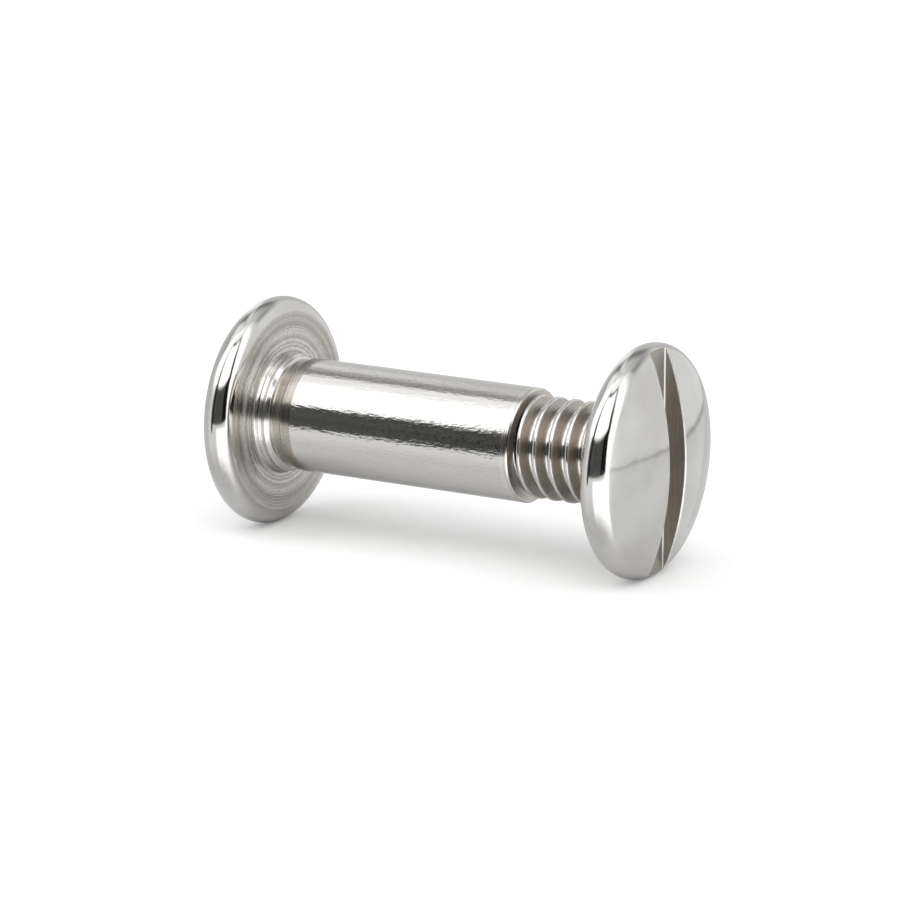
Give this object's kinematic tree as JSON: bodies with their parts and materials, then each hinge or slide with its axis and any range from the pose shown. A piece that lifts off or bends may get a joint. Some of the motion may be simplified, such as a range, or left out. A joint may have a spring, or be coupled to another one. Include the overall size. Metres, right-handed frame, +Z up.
{
  "type": "binding barrel screw",
  "caption": "Nickel-plated binding post: a domed barrel with a smooth post and a blind tapped hole, and a domed slotted screw that runs in it, shown part open.",
  "frame": {"origin": "Middle of the whole screw at rest, on the surface that it lies on", "axes": "+X along the common axis from the barrel's head to the screw's head, +Z up"},
  "size_m": [0.0194, 0.009, 0.009],
  "materials": {
    "barrel_nickel": "polished",
    "screw_nickel": "polished"
  },
  "bodies": {
    "barrel": {"barrel": "barrel_nickel"},
    "screw": {"screw": "screw_nickel"}
  },
  "joints": [
    {"name": "screw_travel", "type": "slide", "parent": "barrel", "child": "screw", "axis": [1, 0, 0], "range_m": [-0.0042, 0.0042]}
  ]
}
